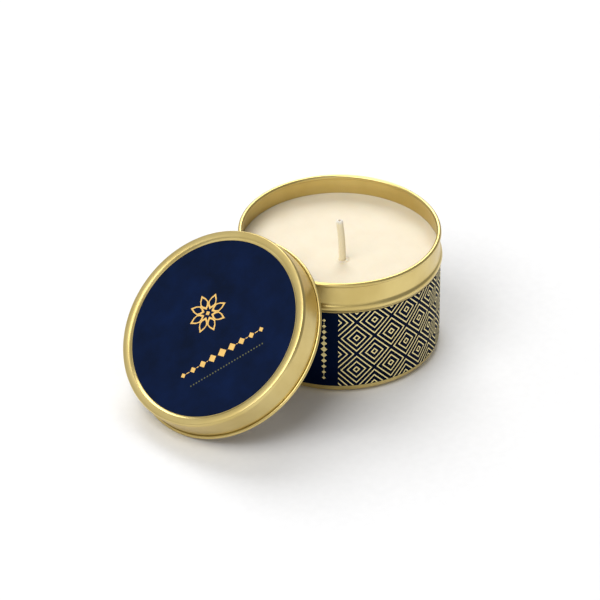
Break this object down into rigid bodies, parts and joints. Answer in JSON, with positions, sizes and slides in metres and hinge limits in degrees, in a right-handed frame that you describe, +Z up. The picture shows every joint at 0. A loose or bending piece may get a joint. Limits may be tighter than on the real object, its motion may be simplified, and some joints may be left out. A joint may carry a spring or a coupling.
{
  "type": "candle tin",
  "caption": "Round metal candle tin full of wax with one wick, its slip lid off and leaning on the rim, with printed labels on the wall and the lid.",
  "frame": {"origin": "centre of the tin's base ring, on the table plane", "axes": "+Z up along the tin's axis, +X from the leaning lid towards the tin, so the lid leans on the -X side and the XZ plane is its plane of lean"},
  "size_m": [0.1355, 0.0812, 0.0619],
  "materials": {
    "gold_lacquer": "satin gold lacquer over tinplate",
    "print_film": "matt dark blue print with gold lines",
    "wax": "smooth cream wax, slightly translucent",
    "cotton": "waxed braided cotton",
    "bare_tinplate": "plain tinplate",
    "adhesive": "white double-sided pad"
  },
  "bodies": {
    "tin": {"tin_shell": "gold_lacquer", "wrap_label": "print_film", "wax_fill": "wax", "wick_braid": "cotton", "wick_core": "cotton", "wick_tab": "bare_tinplate", "wick_sticker": "adhesive"},
    "lid": {"lid_shell": "gold_lacquer", "lid_label": "print_film"}
  },
  "joints": [
    {"name": "lid_lift", "type": "slide", "parent": "tin", "child": "lid", "axis": [0, 0, 1], "range_m": [0, 0.08]}
  ]
}
